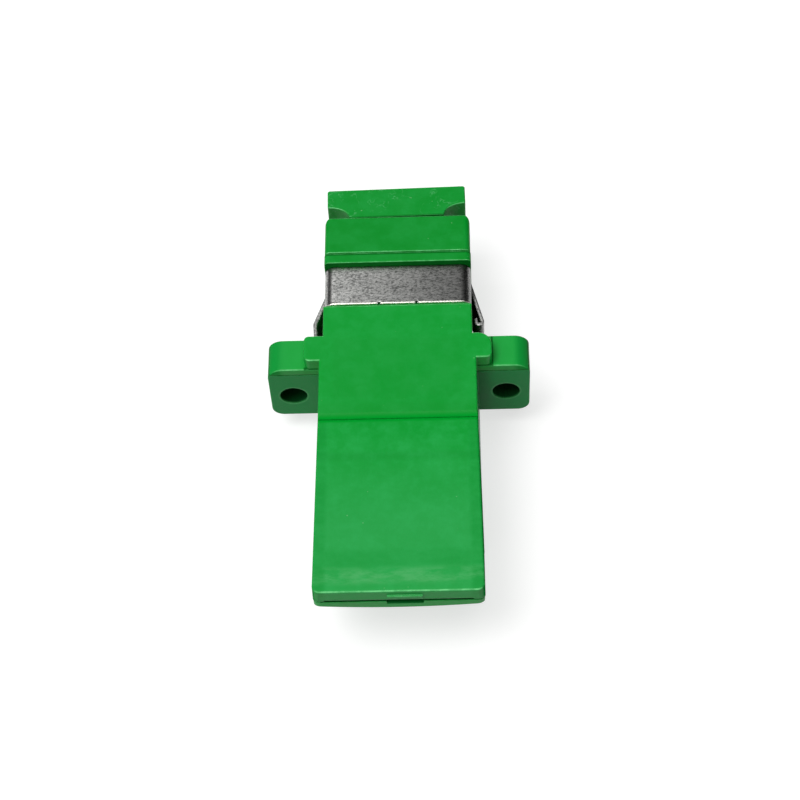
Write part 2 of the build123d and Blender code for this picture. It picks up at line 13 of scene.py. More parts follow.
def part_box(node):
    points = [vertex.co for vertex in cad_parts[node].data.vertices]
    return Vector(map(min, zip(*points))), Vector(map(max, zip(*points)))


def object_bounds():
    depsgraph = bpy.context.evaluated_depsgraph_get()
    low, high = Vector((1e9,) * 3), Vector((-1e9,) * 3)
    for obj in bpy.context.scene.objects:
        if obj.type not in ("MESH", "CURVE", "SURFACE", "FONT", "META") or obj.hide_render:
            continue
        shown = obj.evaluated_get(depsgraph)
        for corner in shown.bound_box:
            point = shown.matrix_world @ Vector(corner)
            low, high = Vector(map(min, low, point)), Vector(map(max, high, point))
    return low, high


bl_info = {
    "name": "Fibre Adapter Dressing",
    "version": (1, 0, 0),
    "blender": (4, 5, 0),
    "location": "View3D > Sidebar > Adapter",
    "description": "Finishes the packed fibre optic adapter and sets its stage",
    "category": "Object",
}

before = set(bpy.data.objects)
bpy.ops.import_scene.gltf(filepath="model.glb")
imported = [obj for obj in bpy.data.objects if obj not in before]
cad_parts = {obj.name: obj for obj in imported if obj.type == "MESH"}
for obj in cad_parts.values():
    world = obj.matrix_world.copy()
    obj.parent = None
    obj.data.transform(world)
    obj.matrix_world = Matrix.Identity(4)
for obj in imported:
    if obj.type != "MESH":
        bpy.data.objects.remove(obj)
CAD_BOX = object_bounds()
MM = 0.001

# Places on the part, as distances along the CAD's axes
HOOD_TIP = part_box("front_hood")[0][1]
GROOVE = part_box("front_hood")[1][1]
CLIP_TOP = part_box("panel_clip")[1][2]
DOOR_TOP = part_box("shutter_door")[1][2]
BODY_SIDE = 6.6 * MM
HOLE_X = 9 * MM
HOLE_R = 1.15 * MM
EAR_FRONT = -3 * MM
SEAM_LEVEL = 3.1 * MM
STRIP_TOP = 3.85 * MM
SHOULDER_END = 7.83 * MM
RIM_STEP = 8.22 * MM
RIM_THICK = 0.95 * MM
REAR_FACE = 12 * MM
CAP_FRONT = 12.1 * MM
CAP_LEAN = math.tan(math.radians(1))
SCOOP_X = 4.3 * MM
NAIL_NOTCH_X = 0.5 * MM
NAIL_NOTCH_HALF = 1.42 * MM
CLIP_NOTCH_X = 1.6 * MM
LID_MIDDLE_Y = -3.8 * MM

# Greens that differ from the main one; their names say which are painted light and shade
DEEP_CAP = {"Base": (0.0005, 0.25, 0.021, 1), "Pale": (0.006, 0.295, 0.04, 1)}
DEEP_HOUSING = {"Base": (0.0003, 0.236, 0.018, 1), "Pale": (0.005, 0.278, 0.035, 1)}
SPECK_GREEN = (0.32, 0.6, 0.33, 1)
TIP_SHEEN_GREEN = (0.032, 0.342, 0.088, 1)
RUBBED_GREEN = (0.11, 0.44, 0.16, 1)
SCUFF_GREEN = (0.1, 0.44, 0.17, 1)
HOLE_RIM_HIGHLIGHT_GREEN = (0.1, 0.42, 0.15, 1)
STRIP_LIT_GREEN = (0.014, 0.35, 0.055, 1)
EAR_FRONT_REFLECTION_GREEN = (0.001, 0.255, 0.058, 1)
EAR_END_SHADE_GREEN = (0.001, 0.235, 0.03, 1)
SIDE_GREEN = (0.002, 0.255, 0.03, 1)
LINE_GREEN = (0.002, 0.2, 0.02, 1)
PORTS_DARKER_GREEN = (0.001, 0.25, 0.02, 1)
LID_FRONT_SHADE_GREEN = (0.0, 0.235, 0.015, 1)
GROOVE_SHADE_GREEN = (0.001, 0.28, 0.022, 1)

# Painted shade
CAP_SHADE = (0.0, 0.16, 0.012, 1)
EAR_SHADE = (0.0, 0.11, 0.02, 1)
NOTCH_SHADE = (0.0, 0.05, 0.008, 1)
STEP_SHADE = (0.0, 0.1, 0.008, 1)
SEAM_SHADE = (0.0, 0.08, 0.008, 1)
HOLE_SHADE = (0.0025, 0.042, 0.009, 1)

# Metals
CLIP_LOOK = {"Dark": (0.16, 0.165, 0.16, 1), "Pale": (1.0, 1.0, 0.97, 1)}
WIRE_LOOK = {"Dark": (0.36, 0.36, 0.36, 1), "Pale": (0.62, 0.62, 0.61, 1), "Fleck Scale": 9000.0}
CUT_STEEL_HIGHLIGHT = (1.0, 0.97, 0.88, 1)

# Pattern scales, in features to the metre
PATCH_SCALE = 420.0
STREAK_SCALE = 900.0
BLOTCH_SCALE = 1500.0
SPECK_SCALE = 3100.0
WAVE_SCALE = 330.0
GRAIN_SCALE = 5200.0
CLOUD_SCALE = 800.0
SMEAR_SCALE = 1100.0
SCUFF_SCALE = 1300.0
SCUFF_PATCH_SCALE = 700.0

# Surface of the plastic and the steel
BEVEL_SAMPLES = 6
PLAIN_EDGE_WEAR_AND_HIGHLIGHT = 0.22
EDGE_SMOOTHING = -0.14
# Roughness added where shade is painted
SHADE_ROUGHNESS = 0.3
PLASTIC_RELIEF = 0.03 * MM
STEEL_RELIEF = 0.005 * MM
STEEL_EDGE_RADIUS = 0.22 * MM

# Stage
FLOOR_HALF = 1.6
FLOOR_SEEN = 0.42
FLOOR_BOUNCE = 0.16
FLOOR_LIFT = 0.66
FLAG_START = 0.12
FLAGS = (("left", -0.35, 0.33, 0.55), ("right", 0.35, 0.43, 0.66))
KEY_DIRECTION = (-0.42, -0.2, 1.0)
ROOM_LEFT = 4.8
ROOM_RIGHT = 0.8


# Node helpers

def new_material(name):
    """Material with an empty node tree, its output and a Principled shader joined to it."""
    material = bpy.data.materials.new(name)
    material.use_nodes = True
    tree = material.node_tree
    tree.nodes.clear()
    output = tree.nodes.new("ShaderNodeOutputMaterial")
    shader = tree.nodes.new("ShaderNodeBsdfPrincipled")
    tree.links.new(shader.outputs["BSDF"], output.inputs["Surface"])
    return material, tree, shader


def feed(tree, node, key, value):
    """Give an input a number, a colour, or a link from another node's output."""
    if isinstance(value, bpy.types.NodeSocket):
        tree.links.new(value, node.inputs[key])
    else:
        node.inputs[key].default_value = value


def put(tree, kind, inputs=None, **settings):
    """Add one node, set its properties, and set or link its inputs."""
    node = tree.nodes.new(kind)
    for key, value in settings.items():
        setattr(node, key, value)
    for key, value in (inputs or {}).items():
        feed(tree, node, key, value)
    return node


def calc(tree, operation, a, b=0.0):
    """Output of one Math node."""
    return put(tree, "ShaderNodeMath", {0: a, 1: b}, operation=operation).outputs[0]


def product(tree, first, *others):
    """Values multiplied one after the other."""
    for value in others:
        first = calc(tree, "MULTIPLY", first, value)
    return first


def largest(tree, first, *others):
    """Largest of the values."""
    for value in others:
        first = calc(tree, "MAXIMUM", first, value)
    return first


def inverse(tree, mask):
    """One minus a mask."""
    return calc(tree, "SUBTRACT", 1.0, mask)


def remap(tree, value, low, high, to_low=0.0, to_high=1.0, smooth=False):
    """Output of a Map Range node, held within its range."""
    kind = "SMOOTHSTEP" if smooth else "LINEAR"
    node = put(tree, "ShaderNodeMapRange", {
        "Value": value, "From Min": low, "From Max": high, "To Min": to_low, "To Max": to_high},
        interpolation_type=kind)
    return node.outputs["Result"]


def split_axes(tree, vector):
    """X, Y and Z of a vector."""
    return put(tree, "ShaderNodeSeparateXYZ", {"Vector": vector}).outputs


def noise(tree, vector, scale, detail=2.0, roughness=0.5):
    """Factor of a noise texture, 0 to 1 about a half."""
    node = put(tree, "ShaderNodeTexNoise", {
        "Vector": vector, "Scale": scale, "Detail": detail, "Roughness": roughness})
    return node.outputs["Fac"]


def stretched(tree, vector, scale):
    """Vector scaled apart along the three axes, so a pattern on it becomes streaks."""
    node = put(tree, "ShaderNodeMapping", {"Vector": vector, "Scale": scale})
    return node.outputs["Vector"]


def mix_colour(tree, factor, a, b, kind):
    """Output of a colour Mix node; its sockets go by number, as three kinds share each name."""
    node = put(tree, "ShaderNodeMix", data_type="RGBA", blend_type=kind)
    feed(tree, node, 0, factor)
    feed(tree, node, 6, a)
    feed(tree, node, 7, b)
    return node.outputs[2]


def blend_colour(tree, factor, a, b):
    """Colour between a and b."""
    return mix_colour(tree, factor, a, b, "MIX")


def mark(tree, colour, mask, shade, strength):
    """Colour blended to a shade where a mask is set, as far as the strength says."""
    return blend_colour(tree, product(tree, mask, strength), colour, shade)


def darken(tree, factor, colour, shade):
    """Colour multiplied by a grey shade, as far as the factor says."""
    return mix_colour(tree, factor, colour, (shade, shade, shade, 1), "MULTIPLY")


def band_mask(tree, value, centre, half, fade):
    """Mask that is 1 within half of a centre and fades to 0 over a further length."""
    away = calc(tree, "ABSOLUTE", calc(tree, "SUBTRACT", value, centre))
    return remap(tree, away, half, half + fade, 1.0, 0.0, smooth=True)


def start_group(name, inputs, outputs):
    """Empty shader node group with named sockets, given as (name, kind, default) and (name, kind)."""
    group = bpy.data.node_groups.new(name, "ShaderNodeTree")
    for label, kind, default in inputs:
        socket = group.interface.new_socket(label, in_out="INPUT", socket_type=kind)
        socket.default_value = default
    for label, kind in outputs:
        group.interface.new_socket(label, in_out="OUTPUT", socket_type=kind)
    entry = group.nodes.new("NodeGroupInput")
    leave = group.nodes.new("NodeGroupOutput")
    return group, entry.outputs, leave.inputs


def place_group(tree, group, inputs):
    """Outputs of a node group placed in a material with its own values."""
    return put(tree, "ShaderNodeGroup", inputs, node_tree=group).outputs


NUMBER, COLOUR, ARROW = "NodeSocketFloat", "NodeSocketColor", "NodeSocketVector"


# Shared effects

def make_edge_group():
    """Paler edges, partly wear and partly painted highlight: a mask that is 1 along edges and 0 on flats,
    and a normal that rounds the edges.

    The surface's normal is averaged over a small radius. Its dot product with the true normal is 1 on a
    flat and falls towards 0.7 on a square edge. An edge between a top and a front or rear face, where the
    painted highlight is strongest, is found by slope too: the product of the averaged normal's Y and Z parts
    is large only there. The larger of the two is broken up by one noise of the coordinates.
    """
    group, given, result = start_group("Edge wear and highlight", [
        ("Vector", ARROW, (0, 0, 0)),
        ("Top Edges", NUMBER, 1.0),
        ("Radius", NUMBER, 0.0001),
        ("Breakup Scale", NUMBER, 1500.0),
        ("Breakup", NUMBER, 0.5),
    ], [("Mask", NUMBER), ("Normal", ARROW)])
    rounded = put(group, "ShaderNodeBevel", {"Radius": given["Radius"]}, samples=BEVEL_SAMPLES)
    shape = group.nodes.new("ShaderNodeNewGeometry")
    agree = put(group, "ShaderNodeVectorMath", {
        0: rounded.outputs["Normal"], 1: shape.outputs["Normal"]}, operation="DOT_PRODUCT")
    # Every edge turns a little paler, partly wear and partly painted highlight.
    any_edge = product(group, remap(group, agree.outputs["Value"], 0.97, 0.75), PLAIN_EDGE_WEAR_AND_HIGHLIGHT)
    slope = split_axes(group, rounded.outputs["Normal"])
    tilt = product(group, calc(group, "ABSOLUTE", slope["Y"]), calc(group, "MAXIMUM", slope["Z"], 0.0))
    # Painted highlight along the edges between a top and a front or rear face.
    top_edge_highlight = product(group, remap(group, tilt, 0.28, 0.42), given["Top Edges"])
    patchy = remap(group, noise(group, given["Vector"], given["Breakup Scale"], 3.0, 0.6), 0.42, 0.6)
    keep = inverse(group, product(group, given["Breakup"], inverse(group, patchy)))
    group.links.new(product(group, largest(group, any_edge, top_edge_highlight), keep), result["Mask"])
    group.links.new(rounded.outputs["Normal"], result["Normal"])
    return group


def make_moulded_group():
    """Moulded plastic: a green that drifts in soft patches and streaks, with grain, waves and specks.

    Each effect is a noise of the object's own coordinates at its own scale. Patches, blotches and streaks
    mix the paler green in. The height is the waves plus the grain, each times its depth.
    """
    group, given, result = start_group("Moulded plastic", [
        ("Vector", ARROW, (0, 0, 0)),
        ("Base", COLOUR, (0.02, 0.3, 0.06, 1)),
        ("Pale", COLOUR, (0.04, 0.36, 0.09, 1)),
        ("Patches", NUMBER, 0.5),
        ("Blotches", NUMBER, 0.25),
        ("Streaks", NUMBER, 0.12),
        ("Specks", NUMBER, 0.5),
        ("Waves", NUMBER, 0.6),
        ("Grain", NUMBER, 0.3),
        ("Roughness", NUMBER, 0.4),
    ], [("Color", COLOUR), ("Roughness", NUMBER), ("Height", NUMBER)])
    place = given["Vector"]
    patches = noise(group, place, PATCH_SCALE, 4.0, 0.6)
    blotches = noise(group, place, BLOTCH_SCALE, 3.0, 0.6)
    streaks = noise(group, stretched(group, place, (0.3, 1.4, 1.4)), STREAK_SCALE, 4.0, 0.65)
    wide = product(group, remap(group, patches, 0.38, 0.66, smooth=True), given["Patches"])
    small = product(group, remap(group, blotches, 0.42, 0.66, smooth=True), given["Blotches"])
    drawn = product(group, remap(group, streaks, 0.45, 0.68, smooth=True), given["Streaks"])
    pale = calc(group, "ADD", wide, calc(group, "ADD", small, drawn))
    tinted = blend_colour(group, pale, given["Base"], given["Pale"])
    speck = remap(group, noise(group, place, SPECK_SCALE, 1.0), 0.79, 0.83)
    group.links.new(mark(group, tinted, speck, SPECK_GREEN, given["Specks"]), result["Color"])
    waves = product(group, noise(group, place, WAVE_SCALE, 2.0), given["Waves"])
    grain = product(group, noise(group, place, GRAIN_SCALE, 2.0, 0.6), given["Grain"])
    group.links.new(calc(group, "ADD", waves, grain), result["Height"])
    duller = remap(group, patches, 0.3, 0.7, -0.05, 0.07)
    group.links.new(calc(group, "ADD", given["Roughness"], duller), result["Roughness"])
    return group


def make_speckle_group():
    """Rolled spring steel: short flecks across the band over a slow cloud of greys.

    Flecks are a fine noise of coordinates drawn out along X. A second, wide noise drifts the greys.
    """
    group, given, result = start_group("Speckled steel", [
        ("Vector", ARROW, (0, 0, 0)),
        ("Dark", COLOUR, (0.1, 0.1, 0.1, 1)),
        ("Pale", COLOUR, (0.6, 0.6, 0.58, 1)),
        ("Fleck Scale", NUMBER, 7600.0),
        ("Roughness", NUMBER, 0.3),
    ], [("Color", COLOUR), ("Roughness", NUMBER), ("Height", NUMBER)])
    drawn = stretched(group, given["Vector"], (0.5, 1.0, 1.0))
    flecks = noise(group, drawn, given["Fleck Scale"], 3.0, 0.75)
    cloud = noise(group, given["Vector"], CLOUD_SCALE, 3.0)
    fine = remap(group, flecks, 0.39, 0.61, 0.0, 0.88)
    tone = calc(group, "ADD", fine, remap(group, cloud, 0.3, 0.7, 0.0, 0.12))
    group.links.new(blend_colour(group, tone, given["Dark"], given["Pale"]), result["Color"])
    shift = remap(group, flecks, 0.3, 0.7, 0.1, -0.08)
    group.links.new(calc(group, "ADD", given["Roughness"], shift), result["Roughness"])
    group.links.new(flecks, result["Height"])
    return group


def relief(tree, shader, height, depth, normal):
    """Bump a surface by a height, to the given depth in metres, over its rounded normal."""
    bump = put(tree, "ShaderNodeBump", {
        "Height": height, "Distance": depth, "Strength": 1.0, "Normal": normal})
    tree.links.new(bump.outputs["Normal"], shader.inputs["Normal"])


def own_place(tree):
    """The object's own coordinates."""
    return put(tree, "ShaderNodeTexCoord").outputs["Object"]


def paint(material, *nodes):
    """Give CAD nodes a material in every slot."""
    for node in nodes:
        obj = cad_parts[node]
        if not obj.material_slots:
            obj.data.materials.append(material)
        for holder in obj.material_slots:
            holder.material = material


# Marks of each plastic piece, many of them painted light and shade: its colour with the marks, and a mask of
# where shade is painted, which is made matt

def groove_shade(tree, along, colour):
    """Painted shade in the groove between the lid and the hood, which is made matt there too."""
    # Painted shade, darkest within the groove.
    lid_side = remap(tree, along, GROOVE + 0.1 * MM, GROOVE + 0.7 * MM, 1.0, 0.0, smooth=True)
    hood_side = remap(tree, along, GROOVE - 0.42 * MM, GROOVE - 0.22 * MM)
    matt_shade = product(tree, lid_side, hood_side)
    return blend_colour(tree, matt_shade, colour, GROOVE_SHADE_GREEN), matt_shade


def hood_marks(tree, place, colour):
    """Marks of the hood: a pale rubbed band near its tip with a darker one behind it, a faint darker line
    near the groove, and deeper green along both sides.

    The bands are masks along Y, broken by one noise drawn out along X. A painted sheen, a paler green, grows
    slowly from the groove towards the tip, and the sides' mask is of the distance from the middle, with the
    same noise.
    """
    axes = split_axes(tree, place)
    smear = noise(tree, stretched(tree, place, (0.35, 1.0, 1.0)), SMEAR_SCALE, 4.0, 0.7)
    smear = remap(tree, smear, 0.4, 0.62)
    # Painted sheen: a paler green that grows from the groove towards the tip.
    slope = remap(tree, axes["Y"], GROOVE - 0.3 * MM, GROOVE - 10 * MM)
    colour = mark(tree, colour, slope, TIP_SHEEN_GREEN, 0.5)
    rubbed = band_mask(tree, axes["Y"], HOOD_TIP + 1.55 * MM, 0.3 * MM, 0.7 * MM)
    colour = mark(tree, colour, product(tree, rubbed, smear), RUBBED_GREEN, 0.42)
    line = band_mask(tree, axes["Y"], GROOVE - 3.6 * MM, 0.1 * MM, 0.5 * MM)
    colour = mark(tree, colour, line, LINE_GREEN, 0.16)
    behind = band_mask(tree, axes["Y"], HOOD_TIP + 3.1 * MM, 0.4 * MM, 0.7 * MM)
    reach = calc(tree, "ABSOLUTE", axes["X"])
    sides = remap(tree, reach, BODY_SIDE - 1.1 * MM, BODY_SIDE - 0.6 * MM, smooth=True)
    deeper = largest(tree, product(tree, behind, 0.7), sides)
    strength = remap(tree, smear, 0.0, 1.0, 0.6, 0.25)
    return groove_shade(tree, axes["Y"], mark(tree, colour, deeper, SIDE_GREEN, strength))


def door_marks(tree, place, colour):
    """The shutter's nail notch lies in shade: a mask within its width, near the free end."""
    axes = split_axes(tree, place)
    within = band_mask(tree, axes["X"], NAIL_NOTCH_X, NAIL_NOTCH_HALF, 0.05 * MM)
    high = remap(tree, axes["Z"], DOOR_TOP - 0.42 * MM, DOOR_TOP - 0.36 * MM)
    notch = product(tree, within, high, 0.7)
    return blend_colour(tree, notch, colour, NOTCH_SHADE), notch


def scuff_mask(tree, place):
    """Mask of fine scuffs: thin level lines of one noise, kept where a second, wider noise is high."""
    level = calc(tree, "SUBTRACT", noise(tree, place, SCUFF_SCALE), 0.5)
    lines = remap(tree, calc(tree, "ABSOLUTE", level), 0.005, 0.016, 1.0, 0.0)
    return product(tree, lines, remap(tree, noise(tree, place, SCUFF_PATCH_SCALE), 0.48, 0.58))


def cap_marks(tree, place, colour):
    """The cap is lightly scuffed. Its lower front edge, square to its own axis, lies in shade."""
    axes = split_axes(tree, place)
    colour = mark(tree, colour, scuff_mask(tree, place), SCUFF_GREEN, 0.5)
    along = calc(tree, "SUBTRACT", axes["Y"], product(tree, axes["X"], CAP_LEAN))
    edge = remap(tree, along, CAP_FRONT + 0.1 * MM, CAP_FRONT + 0.16 * MM, 1.0, 0.0)
    reach = calc(tree, "ABSOLUTE", axes["X"])
    between = remap(tree, reach, SCOOP_X - 0.1 * MM, SCOOP_X + 0.1 * MM, 1.0, 0.0)
    shade = product(tree, edge, between, 0.7)
    return blend_colour(tree, shade, colour, CAP_SHADE), shade


def beyond_body(tree, reach):
    """Mask of what stands out sideways beyond the ports' body, such as the ears."""
    return remap(tree, reach, BODY_SIDE - 0.05 * MM, BODY_SIDE + 0.05 * MM)


def seam_mask(tree, axes):
    """Mask of the thin seam round the ears, between the lid's strips and the housing, where shade is
    painted.
    """
    level = band_mask(tree, axes["Z"], SEAM_LEVEL, 0.05 * MM, 0.05 * MM)
    return product(tree, level, beyond_body(tree, calc(tree, "ABSOLUTE", axes["X"])), 0.8)


def crease_mask(tree, axes):
    """Mask of the painted shade in the creases where the shoulders meet the strips: along their fronts, and
    by the right.
    """
    reach = calc(tree, "ABSOLUTE", axes["X"])
    inside = remap(tree, reach, SHOULDER_END + 0.02 * MM, SHOULDER_END + 0.08 * MM, 1.0, 0.0)
    ahead = remap(tree, axes["Y"], EAR_FRONT + 0.3 * MM, EAR_FRONT + 0.2 * MM)
    under = product(tree, beyond_body(tree, reach), inside, ahead)
    beside = band_mask(tree, axes["X"], SHOULDER_END + 0.04 * MM, 0.05 * MM, 0.04 * MM)
    level = band_mask(tree, axes["Z"], STRIP_TOP + 0.02 * MM, 0.06 * MM, 0.06 * MM)
    return product(tree, largest(tree, under, beside), level, 0.85)


def hole_marks(tree, axes, colour):
    """Each screw hole has a paler rim of painted highlight and a wall darkened by painted shade; the wall's
    mask is returned too.

    The distance from the nearer hole's axis is worked out in the XZ plane, and both marks are masks of it.
    """
    beside = calc(tree, "SUBTRACT", calc(tree, "ABSOLUTE", axes["X"]), HOLE_X)
    squares = calc(tree, "ADD", calc(tree, "POWER", beside, 2.0), calc(tree, "POWER", axes["Z"], 2.0))
    away = calc(tree, "SQRT", squares)
    # Painted highlight round the hole's rim.
    rim = band_mask(tree, away, HOLE_R + 0.06 * MM, 0.05 * MM, 0.1 * MM)
    colour = mark(tree, colour, rim, HOLE_RIM_HIGHLIGHT_GREEN, 0.4)
    # Painted shade on the hole's wall, lighter at the front.
    wall = remap(tree, away, HOLE_R + 0.01 * MM, HOLE_R + 0.03 * MM, 1.0, 0.0)
    wall = product(tree, wall, remap(tree, axes["Y"], EAR_FRONT, EAR_FRONT + 0.2 * MM, 0.5, 1.0))
    return blend_colour(tree, wall, colour, HOLE_SHADE), wall


def rim_shade_mask(tree, along):
    """Mask of painted shade on the rear rim, as thin bands in front of its two steps, and at the rear edge.
    """
    step = band_mask(tree, along, RIM_STEP - 0.08 * MM, 0.04 * MM, 0.06 * MM)
    front = band_mask(tree, along, RIM_STEP - RIM_THICK - 0.02 * MM, 0.02 * MM, 0.03 * MM)
    rear = remap(tree, along, REAR_FACE - 0.16 * MM, REAR_FACE - 0.06 * MM, 0.0, 0.45)
    return largest(tree, product(tree, step, 0.75), product(tree, front, 0.8), rear)


def housing_marks(tree, place, colour):
    """The ears' front faces are a cooler green, a painted reflection, with painted shadow beside the hood on
    the right;
    screw holes, rim and seam have painted highlight and shade of their own."""
    axes = split_axes(tree, place)
    ear_front = remap(tree, axes["Y"], EAR_FRONT + 0.05 * MM, EAR_FRONT + 0.01 * MM)
    # Painted reflection: the ears' front faces take a cooler green.
    colour = mark(tree, colour, ear_front, EAR_FRONT_REFLECTION_GREEN, 0.8)
    # Painted shadow of the hood on the right ear's front face.
    beside_hood = band_mask(tree, axes["X"], BODY_SIDE - 0.1 * MM, 0.4 * MM, 1.2 * MM)
    colour = mark(tree, colour, product(tree, ear_front, beside_hood), EAR_SHADE, 0.48)
    colour, wall = hole_marks(tree, axes, colour)
    # Painted shade before the rim's steps, at its rear edge and in the seam.
    rim_and_seam_shade = largest(tree, rim_shade_mask(tree, axes["Y"]), seam_mask(tree, axes))
    return blend_colour(tree, rim_and_seam_shade, colour, STEP_SHADE), largest(tree, wall, rim_and_seam_shade)


def lid_marks(tree, place, colour):
    """The lid's top is a little darker over the ports, and has painted shade just before the groove.

    The strips on the ears are paler with painted light, and their ends deeper with painted shade. Each is a
    mask of the distance along X or Y.
    """
    axes = split_axes(tree, place)
    reach = calc(tree, "ABSOLUTE", axes["X"])
    across = band_mask(tree, axes["X"], 0.0, 5.0 * MM, 0.7 * MM)
    over_ports = product(tree, across, band_mask(tree, axes["Y"], LID_MIDDLE_Y, 2.6 * MM, 0.9 * MM))
    colour = mark(tree, colour, over_ports, PORTS_DARKER_GREEN, 0.25)
    # Painted light: the strips on the ears are paler.
    strip = remap(tree, reach, SHOULDER_END - 0.23 * MM, SHOULDER_END + 0.37 * MM)
    colour = mark(tree, colour, strip, STRIP_LIT_GREEN, 0.6)
    # Painted shade on the ears' rounded ends, which are also made matt.
    ends = remap(tree, reach, HOLE_X + 0.5 * MM, HOLE_X + 1.2 * MM, smooth=True)
    colour = mark(tree, colour, ends, EAR_END_SHADE_GREEN, 0.7)
    # Painted shade just before the groove.
    front = remap(tree, axes["Y"], GROOVE + 2.2 * MM, GROOVE + 0.9 * MM, smooth=True)
    colour = mark(tree, colour, front, LID_FRONT_SHADE_GREEN, 0.3)
    # Painted shade in the seam and the creases.
    seam = largest(tree, seam_mask(tree, axes), crease_mask(tree, axes))
    colour, matt_shade = groove_shade(tree, axes["Y"], blend_colour(tree, seam, colour, SEAM_SHADE))
    return colour, largest(tree, seam, matt_shade, product(tree, ends, 0.56))


# Materials

def plastic(name, settings, look, groups, marks=None, top_edges=1.0, shine=0.16, side_shine=0.06):
    """Green moulded plastic for one kind of piece, with edges paler by wear and by painted highlight.

    marks takes the tree, the place and the colour, and gives the colour with the piece's own marks and a
    mask of painted shade, made matt. top_edges is how far the edges round its top are worn and highlighted:
    0 for a piece with slopes.
    shine is the specular level of faces that look along Y or Z, side_shine that of those along X.
    """
    moulded, edges = groups
    material, tree, shader = new_material(name)
    place = own_place(tree)
    body = place_group(tree, moulded, {
        "Vector": place, "Base": (*settings.green, 1), "Pale": (*settings.pale, 1),
        "Roughness": settings.roughness, **look})
    edge = place_group(tree, edges, {
        "Vector": place, "Radius": settings.edge_radius, "Top Edges": top_edges})
    colour, matt_shade = marks(tree, place, body["Color"]) if marks else (body["Color"], 0.0)
    # Where shade is painted the surface is matt, with no paler edges and no shine.
    unshaded = inverse(tree, matt_shade)
    # Edges turn paler, partly by wear and partly by painted highlight.
    wear = product(tree, edge["Mask"], settings.edge_wear_and_highlight, unshaded)
    tree.links.new(blend_colour(tree, wear, colour, (*settings.edge_green, 1)), shader.inputs["Base Color"])
    rough = calc(tree, "ADD", body["Roughness"], product(tree, edge["Mask"], EDGE_SMOOTHING))
    rough = calc(tree, "ADD", rough, product(tree, matt_shade, SHADE_ROUGHNESS))
    tree.links.new(rough, shader.inputs["Roughness"])
    sideways = calc(tree, "ABSOLUTE", split_axes(tree, edge["Normal"])["X"])
    specular = product(tree, remap(tree, sideways, 0.3, 0.8, shine, side_shine), unshaded)
    tree.links.new(specular, shader.inputs["Specular IOR Level"])
    relief(tree, shader, body["Height"], PLASTIC_RELIEF, edge["Normal"])
    return material


def clip_marks(tree, place, normal, colour, height):
    """The clip's front edge is sheared, so it is smoother, and brighter and a little warm, as bare steel
    with a painted highlight, but for two notches.

    The clip has painted shade that deepens towards the right, by a mask along X, but not on its right leaf's
    upper edge;
    faces that look to the left have painted shade too.
    """
    facing = split_axes(tree, normal)
    axes = split_axes(tree, place)
    top = remap(tree, axes["Z"], CLIP_TOP - 0.7 * MM, CLIP_TOP - 0.45 * MM)
    notch = band_mask(tree, calc(tree, "ABSOLUTE", axes["X"]), CLIP_NOTCH_X, 0.13 * MM, 0.07 * MM)
    # The sheared front edge: bare steel with a painted highlight.
    cut_highlight = product(tree, remap(tree, facing["Y"], -0.04, -0.2), top, inverse(tree, notch))
    right = remap(tree, axes["X"], BODY_SIDE - 0.1 * MM, BODY_SIDE)
    leaf_edge = product(tree, right, remap(tree, facing["Z"], 0.6, 0.8))
    # Painted shade, deeper towards the right.
    right_shade = remap(tree, axes["X"], -4.6 * MM, 6.0 * MM, 0.0, 0.86)
    colour = darken(tree, product(tree, right_shade, inverse(tree, leaf_edge)), colour, 0.2)
    # Painted shade on faces that look to the left.
    colour = darken(tree, remap(tree, facing["X"], -0.25, -0.6), colour, 0.55)
    return blend_colour(tree, cut_highlight, colour, CUT_STEEL_HIGHLIGHT), product(tree, height, inverse(tree, cut_highlight))


def steel(name, look, groups, marks=None):
    """Spring steel; marks gives a piece's own colour and height from its place and rounded normal."""
    speckle, edges = groups
    material, tree, shader = new_material(name)
    place = own_place(tree)
    body = place_group(tree, speckle, {"Vector": place, **look})
    edge = place_group(tree, edges, {"Vector": place, "Radius": STEEL_EDGE_RADIUS, "Breakup": 0.2})
    colour, height = body["Color"], body["Height"]
    if marks:
        colour, height = marks(tree, place, edge["Normal"], colour, height)
    tree.links.new(colour, shader.inputs["Base Color"])
    tree.links.new(body["Roughness"], shader.inputs["Roughness"])
    shader.inputs["Metallic"].default_value = 1.0
    relief(tree, shader, height, STEEL_RELIEF, edge["Normal"])
    return material


def ceramic():
    """Polished white ceramic, with a faint cloud of warmer and cooler white."""
    material, tree, shader = new_material("sleeve_ceramic")
    cloud = noise(tree, own_place(tree), 900.0)
    tint = blend_colour(tree, cloud, (0.8, 0.79, 0.74, 1), (0.88, 0.88, 0.86, 1))
    tree.links.new(tint, shader.inputs["Base Color"])
    tree.links.new(remap(tree, cloud, 0.3, 0.7, 0.1, 0.16), shader.inputs["Roughness"])
    return material


# Settings that a user would change

